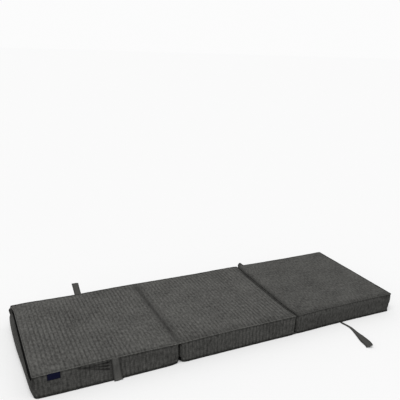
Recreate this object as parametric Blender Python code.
"""A folding mattress of three padded panels, laid flat.

Lengths are in metres. X runs along the mattress, Y across it and Z up, and the origin is on the underside,
at the middle of the middle panel. Panel a lies towards -X, panel b in the middle and panel c towards +X.
Panel a folds up onto b about the fabric hinge between their top seams. Panel c folds down under b about the
fabric hinge between their bottom seams. Each panel is a foam core in a zipped fabric case.
"""

import math
from collections import namedtuple

import bmesh
import bpy
from mathutils import Matrix, Vector

# Mattress
MATTRESS_LENGTH = 1.900
MATTRESS_WIDTH = 0.650
PANEL_COUNT = 3
SEAM_HEIGHT = 0.105
CROWN_HEIGHT = 0.007
CROWN_POWER = 4
CROWN_RING_SHARES = (0.96, 0.90, 0.78, 0.58, 0.30)
OUTER_CORNER_RADIUS = 0.014
HINGE_CORNER_RADIUS = 0.010
SIDE_DRAW_IN = 0.005
SLIT_AB = 0.010
SLIT_BC = 0.008
FOLD_CLEARANCE = 0.0005
GAP = 0.0003
CUT_OVERRUN = 0.002

# Fabric case
COVER_THICKNESS = 0.002
SEAM_RIDGE = 0.0015
SEAM_RIDGE_HEIGHT = 0.002
SEAM_GROOVE_DEPTH = 0.001
SEAM_GROOVE_WIDTH = 0.002
WEB_THICKNESS = 0.0012
WEB_BEND = 0.0016

# Foam core
FOAM_SIDE_GAP = 0.0012
FOAM_TOP_GAP = 0.0012
FOAM_EDGE_ROUND = 0.008

# Zips
ZIP_SEAM_DISTANCE = 0.012
ZIP_SLOT_HEIGHT = 0.0096
ZIP_SLOT_MARGIN = 0.0095
ZIP_TAPE_WIDTH = 0.0075
ZIP_TAPE_THICKNESS = 0.0006
ZIP_TAPE_TUCK = 0.007
CHAIN_WIDTH = 0.005
CHAIN_THICKNESS = 0.0022
CHAIN_EDGE_STRIP = 0.0011
TOOTH_PITCH = 0.006
TOOTH_HEIGHT = 0.0016
STOP_LENGTH = 0.0025
STOP_INSET = 0.001
SLIDER_LENGTH = 0.012
SLIDER_FRONT_WIDTH = 0.0088
SLIDER_REAR_WIDTH = 0.0078
SLIDER_WALL = 0.001
SLIDER_POST_LENGTH = 0.004
BAIL_WIDTH = 0.0014
BAIL_THICKNESS = 0.001
PULL_LENGTH = 0.018
PULL_TIP_WIDTH = 0.007
PULL_THICKNESS = 0.001
PULL_ARM_WIDTH = 0.0012
PULL_ROOT_BAR = 0.0012

# Straps and label
STRAP_END_DISTANCE = 0.335
STRAP_WIDTH = 0.034
STRAP_THICKNESS = 0.0024
STRAP_EDGE_ROUND = 0.0006
SHORT_STRAP_LENGTH = 0.130
HANG_FLOOR_CLEARANCE = 0.003
LONG_STRAP_LENGTH = 0.252
STRAP_HANG_LEAN = 0.006
STRAP_DROOP = 0.06
BACK_STRAP_BEND_RADIUS = 0.200
FLOOR_STRAP_SWAY_SHARES = (2.51, -10.78, 14.07, -5.93)
HEM_LENGTH = 0.014
HEM_STEP = 0.0008
PATCH_LENGTH = 0.045
PATCH_WIDTH = 0.026
PATCH_THICKNESS = 0.0012
PATCH_END_DISTANCE = 0.005
LABEL_END_DISTANCE = 0.082
LABEL_WIDTH = 0.056
LABEL_HEIGHT = 0.035
LABEL_THICKNESS = 0.0008

# Steps of the curved meshes
SIDE_STEPS = 6
END_STEPS = 4
CORNER_STEPS = 4
BAND_STEPS = 4
WEB_STEPS = 4
LABEL_STEPS = 4
STRAP_STEPS = 12
PULL_END_STEPS = 6

# Sizes that follow from those above
PANEL_PITCH = MATTRESS_LENGTH / PANEL_COUNT
FOLD_AB_X = -PANEL_PITCH / 2
FOLD_BC_X = PANEL_PITCH / 2
HALF_WIDTH = MATTRESS_WIDTH / 2 - SEAM_RIDGE
RIM_INSET = COVER_THICKNESS + 2 * GAP
GROOVE_INSET = RIM_INSET + SEAM_GROOVE_WIDTH
CROWN_BASE = SEAM_HEIGHT + SEAM_RIDGE_HEIGHT - SEAM_GROOVE_DEPTH
FOLD_AB_Z = CROWN_BASE + CROWN_HEIGHT + FOLD_CLEARANCE
FOLD_BC_Z = -FOLD_CLEARANCE
BOTTOM_RIDGE_LOW = COVER_THICKNESS / 2
BOTTOM_SEAM = BOTTOM_RIDGE_LOW + SEAM_RIDGE_HEIGHT
SIDE_SWELL = SEAM_RIDGE
CHAIN_DEPTH = COVER_THICKNESS + GAP + ZIP_TAPE_THICKNESS / 2
WING_FACE = CHAIN_THICKNESS / 2 + GAP
SLIDER_HALF_DEPTH = WING_FACE + SLIDER_WALL
ZIP_ROOM = CHAIN_DEPTH + SLIDER_HALF_DEPTH + GAP
FOAM_INSET = COVER_THICKNESS + FOAM_SIDE_GAP
STRAP_PLACE = MATTRESS_LENGTH / 2 - STRAP_END_DISTANCE
LABEL_PLACE = MATTRESS_LENGTH / 2 - LABEL_END_DISTANCE
# A strap's root end reaches this far behind its hinge, so that its corners clear the seam as it swings.
STRAP_ROOT_REACH = math.sqrt((STRAP_THICKNESS / 2 + GAP / 2) ** 2 - (STRAP_THICKNESS / 2) ** 2)

Panel = namedtuple("Panel", "name low high low_radius high_radius carrier zip_turn zip_x zip_z")


def clear_scene():
    for old in list(bpy.data.objects):
        bpy.data.objects.remove(old)


def finish_of(name, colour, roughness, metallic=0.0):
    """A material of the piece's own, with one colour."""
    material = bpy.data.materials.new(name + "_finish")
    material.use_nodes = True
    shader = material.node_tree.nodes["Principled BSDF"]
    shader.inputs["Base Color"].default_value = (*colour, 1.0)
    shader.inputs["Roughness"].default_value = roughness
    shader.inputs["Metallic"].default_value = metallic
    return material


FABRIC = ((0.085, 0.085, 0.080), 0.95, 0.0)
STRAP_FABRIC = ((0.075, 0.075, 0.070), 0.95, 0.0)
FOAM = ((0.80, 0.78, 0.68), 0.90, 0.0)
BLACK_TAPE = ((0.012, 0.012, 0.012), 0.85, 0.0)
BLACK_PLASTIC = ((0.015, 0.015, 0.016), 0.45, 0.0)
DARK_METAL = ((0.06, 0.06, 0.065), 0.40, 1.0)
HOOK_TAPE = ((0.02, 0.02, 0.02), 0.95, 0.0)
NAVY_WEAVE = ((0.010, 0.014, 0.055), 0.80, 0.0)


def carrier_at(name, place, parent=None):
    """An empty on a joint's axis, which carries the pieces that turn or slide with it."""
    carrier = bpy.data.objects.new(name, None)
    bpy.context.scene.collection.objects.link(carrier)
    carrier.parent = parent
    carrier.location = Vector(place) - (world_place(parent) if parent else Vector())
    return carrier


def world_place(obj):
    """Where the object's origin lies. No carrier is turned, so the places add up."""
    place = Vector()
    while obj:
        place += obj.location
        obj = obj.parent
    return place


def add_piece(name, mesh, look, carrier, turn=None, origin=None, smooth=True):
    """Makes the object. A mesh drawn in the world's frame is set back by the carrier's place."""
    piece = bpy.data.objects.new(name, mesh)
    bpy.context.scene.collection.objects.link(piece)
    if smooth:
        mesh.shade_smooth()
        mesh.set_sharp_from_angle(angle=math.radians(35))
    material = finish_of(name, *look)
    if mesh.materials:
        piece.material_slots[0].link = "OBJECT"
        piece.material_slots[0].material = material
    else:
        mesh.materials.append(material)
    piece.parent = carrier
    place = Vector() if origin is None else Vector(origin)
    piece.location = place - world_place(carrier)
    if turn is not None:
        piece.rotation_euler = turn
    return piece


def mesh_of(name, build):
    """Fills a bmesh with build(bm), turns its faces outwards and keeps it as a mesh."""
    bm = bmesh.new()
    build(bm)
    bmesh.ops.recalc_face_normals(bm, faces=bm.faces)
    mesh = bpy.data.meshes.new(name)
    bm.to_mesh(mesh)
    bm.free()
    return mesh


def skin(bm, rings, looped=False):
    """Joins rings of points into a closed skin. An end ring of one point closes to it, and any other is capped."""
    made = [[bm.verts.new(point) for point in ring] for ring in rings]
    pairs = list(zip(made, made[1:]))
    if looped:
        pairs.append((made[-1], made[0]))
    for lower, upper in pairs:
        count = max(len(lower), len(upper))
        for i in range(count):
            j = (i + 1) % count
            if len(lower) == 1:
                bm.faces.new((lower[0], upper[j], upper[i]))
            elif len(upper) == 1:
                bm.faces.new((lower[i], lower[j], upper[0]))
            else:
                bm.faces.new((lower[i], lower[j], upper[j], upper[i]))
    if not looped:
        for ring in (made[0], made[-1]):
            if len(ring) > 2:
                bm.faces.new(ring)


def prism(bm, outline, low, high, place):
    """Extrudes a flat outline from low to high. place(a, b, depth) gives each point."""
    ends = [[place(a, b, depth) for a, b in outline] for depth in (low, high)]
    skin(bm, ends)


def box(bm, low, high):
    corners = ((low[0], low[1]), (high[0], low[1]), (high[0], high[1]), (low[0], high[1]))
    prism(bm, corners, low[2], high[2], lambda a, b, depth: (a, b, depth))


def baked(name, base, others, operation):
    """Joins meshes to the base mesh, or cuts them from it, and keeps only the result."""
    helpers = []
    for i, mesh in enumerate((base, *others)):
        helper = bpy.data.objects.new(f"{name}_helper_{i}", mesh)
        bpy.context.scene.collection.objects.link(helper)
        helper.hide_render = True
        helper.display_type = "WIRE"
        helpers.append(helper)
    for helper in helpers[1:]:
        modifier = helpers[0].modifiers.new(helper.name, "BOOLEAN")
        modifier.operation = operation
        modifier.object = helper
    bpy.context.view_layer.update()
    graph = bpy.context.evaluated_depsgraph_get()
    result = bpy.data.meshes.new_from_object(helpers[0].evaluated_get(graph))
    result.name = name
    for helper in helpers:
        bpy.data.objects.remove(helper)
    return result


# Panel outlines


def side_offset(panel, x, height_share):
    """How far the long side lies inside the line of its corners at x. It swells halfway up the band."""
    start = panel.low + panel.low_radius
    end = panel.high - panel.high_radius
    along = min(max((x - start) / (end - start), 0), 1)
    swell = SIDE_SWELL * (1 - (2 * height_share - 1) ** 2)
    return (SIDE_DRAW_IN - swell) * math.sin(math.pi * along)


def corner(x, y, radius, first_turn):
    """The points inside a quarter arc, given in quarter turns from +X."""
    points = []
    for step in range(1, CORNER_STEPS):
        angle = math.pi / 2 * (first_turn + step / CORNER_STEPS)
        points.append((x + radius * math.cos(angle), y + radius * math.sin(angle)))
    return points


def outline(panel, inset, height_share=0):
    """The panel's plan at one height, anticlockwise from the front side's low end."""
    low_x = panel.low + panel.low_radius
    high_x = panel.high - panel.high_radius
    front = []
    for step in range(SIDE_STEPS + 1):
        x = low_x + (high_x - low_x) * step / SIDE_STEPS
        front.append((x, side_offset(panel, x, height_share) + inset - HALF_WIDTH))
    back = [(x, -y) for x, y in reversed(front)]
    high_y = HALF_WIDTH - panel.high_radius
    low_y = HALF_WIDTH - panel.low_radius
    shares = [2 * step / END_STEPS - 1 for step in range(END_STEPS + 1)]
    high_end = [(panel.high - inset, high_y * share) for share in shares]
    low_end = [(panel.low + inset, -low_y * share) for share in shares]
    high_radius = panel.high_radius - inset
    low_radius = panel.low_radius - inset
    points = front + corner(high_x, -high_y, high_radius, -1)
    points += high_end + corner(high_x, high_y, high_radius, 0)
    points += back + corner(low_x, low_y, low_radius, 1)
    points += low_end + corner(low_x, -low_y, low_radius, 2)
    return points


def level(points, z):
    return [(x, y, z) for x, y in points]


def shrunk(panel, points, share):
    middle = (panel.low + panel.high) / 2
    return [(middle + (x - middle) * share, y * share) for x, y in points]


def crown(share):
    """The rise of the top at a share of the way from the panel's middle to its seam."""
    return CROWN_HEIGHT * math.sqrt(1 - share**CROWN_POWER)


def crown_rings(panel, line, base):
    rings = [level(line, base)]
    for share in CROWN_RING_SHARES:
        rings.append(level(shrunk(panel, line, share), base + crown(share)))
    rings.append([((panel.low + panel.high) / 2, 0, base + crown(0))])
    return rings


# Fabric case


def top_cover(panel):
    """A crowned sheet with a raised seam round its edge and a groove inside the seam."""
    seam_line = outline(panel, -SEAM_RIDGE, 1)
    rim_line = outline(panel, RIM_INSET, 1)
    groove_line = outline(panel, GROOVE_INSET, 1)
    rings = crown_rings(panel, groove_line, CROWN_BASE - COVER_THICKNESS)[::-1]
    rings.append(level(rim_line, SEAM_HEIGHT))
    rings.append(level(seam_line, SEAM_HEIGHT))
    rings.append(level(seam_line, SEAM_HEIGHT + SEAM_RIDGE_HEIGHT))
    rings.append(level(rim_line, SEAM_HEIGHT + SEAM_RIDGE_HEIGHT))
    rings += crown_rings(panel, groove_line, CROWN_BASE)
    name = f"top_cover_{panel.name}"
    add_piece(name, mesh_of(name, lambda bm: skin(bm, rings)), FABRIC, panel.carrier)


def bottom_cover(panel):
    """A flat sheet that turns up at its edge into the bottom seam."""
    seam_line = outline(panel, -SEAM_RIDGE, 0)
    rim_line = outline(panel, RIM_INSET, 0)
    flat_line = outline(panel, GROOVE_INSET, 0)
    rings = [level(flat_line, 0), level(seam_line, BOTTOM_RIDGE_LOW), level(seam_line, BOTTOM_SEAM)]
    rings += [level(rim_line, BOTTOM_SEAM), level(flat_line, COVER_THICKNESS)]
    name = f"bottom_cover_{panel.name}"
    add_piece(name, mesh_of(name, lambda bm: skin(bm, rings)), FABRIC, panel.carrier)


def side_band(panel):
    """The strip between the two seams, swollen halfway up its long sides, with a slot for the zip."""
    low = BOTTOM_SEAM + GAP
    high = SEAM_HEIGHT - GAP
    outer = []
    inner = []
    for step in range(BAND_STEPS + 1):
        share = step / BAND_STEPS
        z = low + (high - low) * share
        outer.append(level(outline(panel, 0, share), z))
        inner.append(level(outline(panel, COVER_THICKNESS, share), z))
    name = f"side_band_{panel.name}"
    band = mesh_of(name, lambda bm: skin(bm, outer + inner[::-1], looped=True))
    half = slot_half_length(panel)
    reach = COVER_THICKNESS + CUT_OVERRUN
    slot_low = (panel.zip_x - reach, -half, panel.zip_z - ZIP_SLOT_HEIGHT / 2)
    slot_high = (panel.zip_x + reach, half, panel.zip_z + ZIP_SLOT_HEIGHT / 2)
    slot = mesh_of(name + "_slot", lambda bm: box(bm, slot_low, slot_high))
    add_piece(name, baked(name, band, [slot], "DIFFERENCE"), FABRIC, panel.carrier)


def foam_core(panel):
    """The block of foam, with room left for the zip at its end."""
    room = ZIP_ROOM - FOAM_INSET
    if panel.zip_x == panel.low:
        block = panel._replace(low=panel.low + room)
    else:
        block = panel._replace(high=panel.high - room)
    side_line = outline(block, FOAM_INSET, 0)
    bottom = COVER_THICKNESS + GAP
    top = CROWN_BASE - COVER_THICKNESS - FOAM_TOP_GAP
    rings = [level(shrunk(block, side_line, CROWN_RING_SHARES[0]), bottom)]
    rings.append(level(side_line, bottom + FOAM_EDGE_ROUND))
    rings.append(level(side_line, top - FOAM_EDGE_ROUND))
    rings += crown_rings(block, side_line, top)[1:]
    name = f"foam_core_{panel.name}"
    add_piece(name, mesh_of(name, lambda bm: skin(bm, rings)), FOAM, panel.carrier)


def hinge_web(name, x, slit, z, bend, carrier):
    """The strip of fabric between two seams. It bows by bend between them."""
    half_span = slit / 2 - SEAM_RIDGE - GAP
    half_length = HALF_WIDTH - HINGE_CORNER_RADIUS
    upper = []
    for step in range(WEB_STEPS + 1):
        across = 2 * step / WEB_STEPS - 1
        bow = bend * math.cos(math.pi / 2 * across)
        upper.append((x + half_span * across, z + bow + WEB_THICKNESS / 2))
    lower = [(px, pz - WEB_THICKNESS) for px, pz in reversed(upper)]
    mesh = mesh_of(name, lambda bm: prism(bm, upper + lower, -half_length, half_length, xz_place))
    add_piece(name, mesh, FABRIC, carrier)


def xz_place(x, z, y):
    return (x, y, z)


# Zips, drawn with their chain along Y, X out of the panel and the origin on the slot's middle at the face


def zy_place(z, y, x):
    return (x, y, z)


def slot_half_length(panel):
    radius = panel.low_radius if panel.zip_x == panel.low else panel.high_radius
    return HALF_WIDTH - radius - ZIP_SLOT_MARGIN


def slider_closed_place(half):
    return half - STOP_INSET - STOP_LENGTH - GAP - SLIDER_LENGTH / 2


def slider_travel(half):
    return slider_closed_place(half) - SLIDER_LENGTH / 2 - STOP_INSET + half


def zip_tape(bm, half, side):
    near = CHAIN_WIDTH / 2 + GAP
    far = near + ZIP_TAPE_WIDTH
    face = -COVER_THICKNESS - GAP
    reach = half + ZIP_TAPE_TUCK
    low, high = sorted((side * near, side * far))
    box(bm, (face - ZIP_TAPE_THICKNESS, -reach, low), (face, reach, high))


def zip_teeth(bm, half, side):
    """One row of teeth on the strip that holds them. The two rows mesh along one zigzag, a gap apart."""
    lean = math.atan2(TOOTH_HEIGHT, TOOTH_PITCH / 2)
    half_gap = GAP / 2 / math.cos(lean)
    first = STOP_INSET + STOP_LENGTH + TOOTH_PITCH - half
    last = slider_closed_place(half)
    count = int((last - first) / TOOTH_PITCH)
    edge = side * (CHAIN_WIDTH / 2 - CHAIN_EDGE_STRIP)
    back = side * CHAIN_WIDTH / 2
    row = [(edge, -half), (edge, first - TOOTH_PITCH / 2)]
    for step in range(2 * count + 1):
        row.append((TOOTH_HEIGHT / 2 * (-1) ** step + side * half_gap, first + step * TOOTH_PITCH / 2))
    row += [(edge, row[-1][1] + TOOTH_PITCH / 2), (edge, half), (back, half), (back, -half)]
    prism(bm, row, -CHAIN_DEPTH - CHAIN_THICKNESS / 2, CHAIN_THICKNESS / 2 - CHAIN_DEPTH, zy_place)


def zip_stop(bm, half, side):
    """The block between the strips at one end of the chain, the closed end where side is 1."""
    reach = CHAIN_WIDTH / 2 - CHAIN_EDGE_STRIP - GAP
    near, far = sorted((side * (half - STOP_INSET - STOP_LENGTH), side * (half - STOP_INSET)))
    low = (-CHAIN_DEPTH - CHAIN_THICKNESS / 2, near, -reach)
    box(bm, low, (CHAIN_THICKNESS / 2 - CHAIN_DEPTH, far, reach))


def slider_channel(side):
    """Half of the slider's body: a wing and the two flanges that fold over the tapes."""
    flange_in = CHAIN_WIDTH / 2 + GAP
    flange_end = ZIP_TAPE_THICKNESS / 2 + GAP
    ends = []
    for y, width in ((-SLIDER_LENGTH / 2, SLIDER_REAR_WIDTH), (SLIDER_LENGTH / 2, SLIDER_FRONT_WIDTH)):
        half = width / 2
        profile = [(-half, SLIDER_HALF_DEPTH), (-half, flange_end), (-flange_in, flange_end)]
        profile += [(-flange_in, WING_FACE), (flange_in, WING_FACE), (flange_in, flange_end)]
        profile += [(half, flange_end), (half, SLIDER_HALF_DEPTH)]
        ends.append([(side * depth - CHAIN_DEPTH, y, z) for z, depth in profile])
    return mesh_of("slider_channel", lambda bm: skin(bm, ends))


def slider_post(bm):
    """The wedge that parts the teeth, at the slider's leading end, between its wings."""
    reach = CHAIN_WIDTH / 2 - CHAIN_EDGE_STRIP - GAP
    front = SLIDER_LENGTH / 2 - GAP
    back = front - SLIDER_POST_LENGTH
    wide = (front + back) / 2
    wedge = ((0, back), (reach, wide), (reach / 2, front), (-reach / 2, front), (-reach, wide))
    middle = WING_FACE + SLIDER_WALL / 2
    prism(bm, wedge, -CHAIN_DEPTH - middle, middle - CHAIN_DEPTH, zy_place)


def root_bar_reach():
    """The radius that the pull's root bar sweeps as it turns."""
    return math.hypot(PULL_ROOT_BAR, PULL_THICKNESS) / 2


def bail_inside():
    """The inner half length of the bail, and its inner height over the wing."""
    return root_bar_reach() + 2 * GAP, 2 * (root_bar_reach() + GAP)


def pull_pivot_depth():
    return SLIDER_HALF_DEPTH - CHAIN_DEPTH + GAP + root_bar_reach()


def slider_bail(bm):
    """The arch on the outer wing that holds the pull."""
    half, height = bail_inside()
    seat = SLIDER_HALF_DEPTH - CHAIN_DEPTH
    root = seat - SLIDER_WALL / 2
    top = seat + height
    outer = half + BAIL_THICKNESS
    arch = [(-outer, root), (-outer, top), (-half, top + BAIL_THICKNESS), (half, top + BAIL_THICKNESS)]
    arch += [(outer, top), (outer, root), (half, root), (half, top), (-half, top), (-half, root)]
    prism(bm, arch, -BAIL_WIDTH / 2, BAIL_WIDTH / 2, lambda y, x, z: (x, y, z))


def slider_mesh():
    others = [slider_channel(-1), mesh_of("slider_post", slider_post), mesh_of("slider_bail", slider_bail)]
    return baked("zip_slider", slider_channel(1), others, "UNION")


def pull_mesh():
    """A tab that points to -Y from its root bar, with a window that clears the bail as it turns."""
    half, height = bail_inside()
    bail_far = height + BAIL_THICKNESS - root_bar_reach() - GAP
    window_half = BAIL_WIDTH / 2 + GAP
    window_end = math.hypot(half + BAIL_THICKNESS, bail_far) + GAP
    root_half = window_half + PULL_ARM_WIDTH
    tip_half = PULL_TIP_WIDTH / 2
    shoulder = window_end + tip_half
    tab = [(-root_half, PULL_ROOT_BAR / 2), (-root_half, -window_end), (-tip_half, -shoulder)]
    for step in range(PULL_END_STEPS + 1):
        angle = math.pi * (1 + step / PULL_END_STEPS)
        tab.append((tip_half * math.cos(angle), tip_half + tip_half * math.sin(angle) - PULL_LENGTH))
    tab += [(tip_half, -shoulder), (root_half, -window_end), (root_half, PULL_ROOT_BAR / 2)]
    depth = (-PULL_THICKNESS / 2, PULL_THICKNESS / 2)
    plate = mesh_of("pull_plate", lambda bm: prism(bm, tab, *depth, zy_place))
    window_low = (-PULL_THICKNESS, -window_end, -window_half)
    window_high = (PULL_THICKNESS, -PULL_ROOT_BAR / 2, window_half)
    window = mesh_of("pull_window", lambda bm: box(bm, window_low, window_high))
    return baked("zip_pull", plate, [window], "DIFFERENCE")


def add_zip(panel, slider, pull):
    """Sets one zip into its panel's slot. The closed end is at the back."""
    half = slot_half_length(panel)
    place = Vector((panel.zip_x, 0, panel.zip_z))
    turn = (0, panel.zip_turn, 0)
    upper, lower = (1, -1) if panel.zip_turn == 0 else (-1, 1)
    pieces = (
        ("tape_upper", zip_tape, upper, BLACK_TAPE),
        ("tape_lower", zip_tape, lower, BLACK_TAPE),
        ("teeth_upper", zip_teeth, upper, BLACK_PLASTIC),
        ("teeth_lower", zip_teeth, lower, BLACK_PLASTIC),
        ("stop_closed", zip_stop, 1, DARK_METAL),
        ("stop_open", zip_stop, -1, DARK_METAL),
    )
    for kind, build, side, look in pieces:
        name = f"zip_{kind}_{panel.name}"
        mesh = mesh_of(name, lambda bm, build=build, side=side: build(bm, half, side))
        add_piece(name, mesh, look, panel.carrier, turn, place, smooth=False)
    outward = Matrix.Rotation(panel.zip_turn, 3, "Y")
    slider_place = place + Vector((0, slider_closed_place(half), 0))
    slider_carrier = carrier_at(f"zip_{panel.name}_travel", slider_place, panel.carrier)
    add_piece(f"zip_slider_{panel.name}", slider, DARK_METAL, slider_carrier, turn, slider_place, smooth=False)
    pivot = slider_place + outward @ Vector((pull_pivot_depth(), 0, 0))
    pull_carrier = carrier_at(f"zip_{panel.name}_pull_pivot", pivot, slider_carrier)
    add_piece(f"zip_pull_{panel.name}", pull, DARK_METAL, pull_carrier, turn, pivot, smooth=False)
    print(f"zip {panel.name}: travel {slider_travel(half):.4f}, pull pivot {tuple(round(v, 5) for v in pivot)}")


# Straps and label


def seam_face(panel, x_low, x_high):
    """How far out the seam's ridge stands anywhere between two places along the panel."""
    offset = min(side_offset(panel, x_low, 1), side_offset(panel, x_high, 1))
    return HALF_WIDTH - offset + SEAM_RIDGE


def strip(bm, route, facing, width, thickness, offset, places, chamfer):
    """Sweeps a flat section along a route. thickness(s) and offset stand on the side that facing points to."""
    step = (places[-1] - places[0]) / 1000
    rings = []
    for s in places:
        ahead = (route(s + step) - route(s - step)).normalized()
        across = ahead.cross(facing).normalized()
        out = across.cross(ahead)
        low = offset
        high = offset + thickness(s)
        half = width / 2
        flat = half - chamfer
        section = [(-half, low + chamfer), (-flat, low), (flat, low), (half, low + chamfer)]
        section += [(half, high - chamfer), (flat, high), (-flat, high), (-half, high - chamfer)]
        rings.append([route(s) + across * a + out * b for a, b in section])
    skin(bm, rings)


def add_strap(name, panel, root, route, facing, length):
    """A strap with a hemmed end on its own carrier at its root, and the patch on its inner face."""
    carrier = carrier_at(f"{name}_root", root, panel.carrier)
    hem_start = length - HEM_LENGTH
    places = [hem_start * step / STRAP_STEPS for step in range(STRAP_STEPS + 1)]
    places += [hem_start + HEM_STEP, length]
    places[0] = -STRAP_ROOT_REACH

    def thickness(s):
        return STRAP_THICKNESS + (HEM_STEP if s > hem_start else 0)

    def build(bm):
        strip(bm, route, facing, STRAP_WIDTH, thickness, -STRAP_THICKNESS / 2, places, STRAP_EDGE_ROUND)

    add_piece(name, mesh_of(name, build), STRAP_FABRIC, carrier)
    patch_end = length - PATCH_END_DISTANCE
    patch_start = patch_end - PATCH_LENGTH
    patch_places = [patch_start + PATCH_LENGTH * step / BAND_STEPS for step in range(BAND_STEPS + 1)]
    patch_low = -STRAP_THICKNESS / 2 - GAP - PATCH_THICKNESS

    def build_patch(bm):
        strip(bm, route, facing, PATCH_WIDTH, lambda s: PATCH_THICKNESS, patch_low, patch_places, GAP)

    patch_name = f"{name}_patch"
    add_piece(patch_name, mesh_of(patch_name, build_patch), HOOK_TAPE, carrier)
    print(f"{name}: hinge at {tuple(round(v, 5) for v in root)}")


def short_straps(panel):
    """The front one hangs down the band. The back one stands out behind and droops."""
    half = STRAP_WIDTH / 2
    face = seam_face(panel, -STRAP_PLACE - half, -STRAP_PLACE + half) + GAP + STRAP_THICKNESS / 2
    front_root = Vector((-STRAP_PLACE, -face, SEAM_HEIGHT))
    hang_length = SEAM_HEIGHT - HANG_FLOOR_CLEARANCE

    def hang(s):
        lean = STRAP_HANG_LEAN * (1 - math.cos(math.pi * max(s, 0) / hang_length)) / 2
        return front_root + Vector((0, -lean, -s))

    add_strap("strap_a_front", panel, front_root, hang, Vector((0, -1, 0)), hang_length)
    back_root = Vector((-STRAP_PLACE, face, SEAM_HEIGHT))
    radius = SHORT_STRAP_LENGTH / STRAP_DROOP

    def droop(s):
        turn = max(s, 0) / radius
        return back_root + Vector((0, radius * math.sin(turn) + min(s, 0), radius * (math.cos(turn) - 1)))

    add_strap("strap_a_back", panel, back_root, droop, Vector((0, 0, 1)), SHORT_STRAP_LENGTH)


def long_straps(panel):
    """Both lie on the floor. The front one sways as it runs out, and the back one bends along the panel."""
    half = STRAP_WIDTH / 2
    face = seam_face(panel, STRAP_PLACE - half, STRAP_PLACE + half) + GAP + STRAP_THICKNESS / 2
    height = GAP + STRAP_THICKNESS / 2
    patch_room = GAP + PATCH_THICKNESS

    def lift(s):
        """The strap rises by the patch under its far end."""
        share = min(max(s / (LONG_STRAP_LENGTH - 2 * PATCH_LENGTH), 0), 1)
        return patch_room * (1 - math.cos(math.pi * share)) / 2

    front_root = Vector((STRAP_PLACE, -face, height))

    def sway(s):
        share = max(s, 0) / LONG_STRAP_LENGTH
        square, cube, fourth, fifth = FLOOR_STRAP_SWAY_SHARES
        sway_share = share**2 * (square + cube * share + fourth * share**2 + fifth * share**3)
        return front_root + Vector((LONG_STRAP_LENGTH * sway_share, -s, lift(s)))

    add_strap("strap_c_front", panel, front_root, sway, Vector((0, 0, 1)), LONG_STRAP_LENGTH)
    back_root = Vector((STRAP_PLACE, face, height))

    def bend(s):
        turn = max(s, 0) / BACK_STRAP_BEND_RADIUS
        aside = BACK_STRAP_BEND_RADIUS * (1 - math.cos(turn))
        out = BACK_STRAP_BEND_RADIUS * math.sin(turn) + min(s, 0)
        return back_root + Vector((aside, out, lift(s)))

    add_strap("strap_c_back", panel, back_root, bend, Vector((0, 0, 1)), LONG_STRAP_LENGTH)


def blank_label(panel):
    """A plain woven label that hangs from the top seam, following the side's curve."""
    top = SEAM_HEIGHT + SEAM_RIDGE_HEIGHT / 2
    inner = []
    outer = []
    for step in range(LABEL_STEPS + 1):
        x = LABEL_WIDTH * (step / LABEL_STEPS - 1 / 2) - LABEL_PLACE
        face = HALF_WIDTH - side_offset(panel, x, 1) + SEAM_RIDGE + GAP
        inner.append((x, -face))
        outer.append((x, -face - LABEL_THICKNESS))
    ring = inner + outer[::-1]
    ends = [level(ring, top - LABEL_HEIGHT), level(ring, top)]
    add_piece("label", mesh_of("label", lambda bm: skin(bm, ends)), NAVY_WEAVE, panel.carrier)


def main():
    clear_scene()
    middle = carrier_at("mattress", (0, 0, 0))
    fold_ab = carrier_at("fold_ab_axis", (FOLD_AB_X, 0, FOLD_AB_Z), middle)
    fold_bc = carrier_at("fold_bc_axis", (FOLD_BC_X, 0, FOLD_BC_Z), middle)
    outer = OUTER_CORNER_RADIUS
    hinge = HINGE_CORNER_RADIUS
    half_length = MATTRESS_LENGTH / 2 - SEAM_RIDGE
    high_zip = SEAM_HEIGHT - ZIP_SEAM_DISTANCE
    low_zip = BOTTOM_SEAM + ZIP_SEAM_DISTANCE
    a_high = FOLD_AB_X - SLIT_AB / 2
    b_low = FOLD_AB_X + SLIT_AB / 2
    b_high = FOLD_BC_X - SLIT_BC / 2
    c_low = FOLD_BC_X + SLIT_BC / 2
    panel_a = Panel("a", -half_length, a_high, outer, hinge, fold_ab, math.pi, -half_length, high_zip)
    panel_b = Panel("b", b_low, b_high, hinge, hinge, middle, math.pi, b_low, low_zip)
    panel_c = Panel("c", c_low, half_length, hinge, outer, fold_bc, 0, half_length, low_zip)
    slider = slider_mesh()
    pull = pull_mesh()
    for panel in (panel_a, panel_b, panel_c):
        foam_core(panel)
        bottom_cover(panel)
        side_band(panel)
        top_cover(panel)
        add_zip(panel, slider, pull)
    top_web = SEAM_HEIGHT + SEAM_RIDGE_HEIGHT / 2
    bottom_web = BOTTOM_SEAM - SEAM_RIDGE_HEIGHT / 2
    hinge_web("hinge_web_ab", FOLD_AB_X, SLIT_AB, top_web, -WEB_BEND, middle)
    hinge_web("hinge_web_bc", FOLD_BC_X, SLIT_BC, bottom_web, WEB_BEND, middle)
    short_straps(panel_a)
    long_straps(panel_c)
    blank_label(panel_a)
    print(f"fold ab at x {FOLD_AB_X:.5f} z {FOLD_AB_Z:.5f}, fold bc at x {FOLD_BC_X:.5f} z {FOLD_BC_Z:.5f}")


main()
